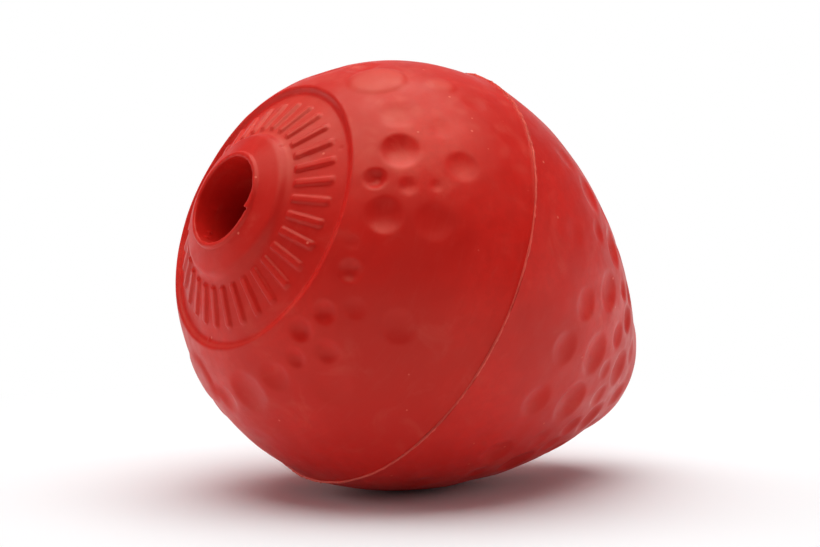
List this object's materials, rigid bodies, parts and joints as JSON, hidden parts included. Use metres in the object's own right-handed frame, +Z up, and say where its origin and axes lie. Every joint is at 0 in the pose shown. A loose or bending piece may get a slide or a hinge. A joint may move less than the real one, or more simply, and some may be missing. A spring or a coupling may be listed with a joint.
{
  "type": "rubber throw toy",
  "caption": "Hollow round rubber throw toy lying on its side: a cratered front with a treat mouth, collar and ribbed channel, and a dimpled tapering tail.",
  "frame": {"origin": "on the ground under the middle of the toy, which lies on its side as it rests by itself", "axes": "+Z up; the toy's own axis lies in the XZ plane, with the mouth towards -X and raised 24 degrees, and the tail towards +X; -Y is the side that the picture shows"},
  "size_m": [0.0866, 0.0764, 0.0749],
  "materials": {
    "shell_rubber": "satin moulded natural rubber, solid red right through",
    "bond_rubber": "smooth cured rubber cement, a little paler and glossier than the shells"
  },
  "bodies": {
    "root": {"front_shell": "shell_rubber", "rear_shell": "shell_rubber", "seam_bond": "bond_rubber"}
  },
  "joints": []
}
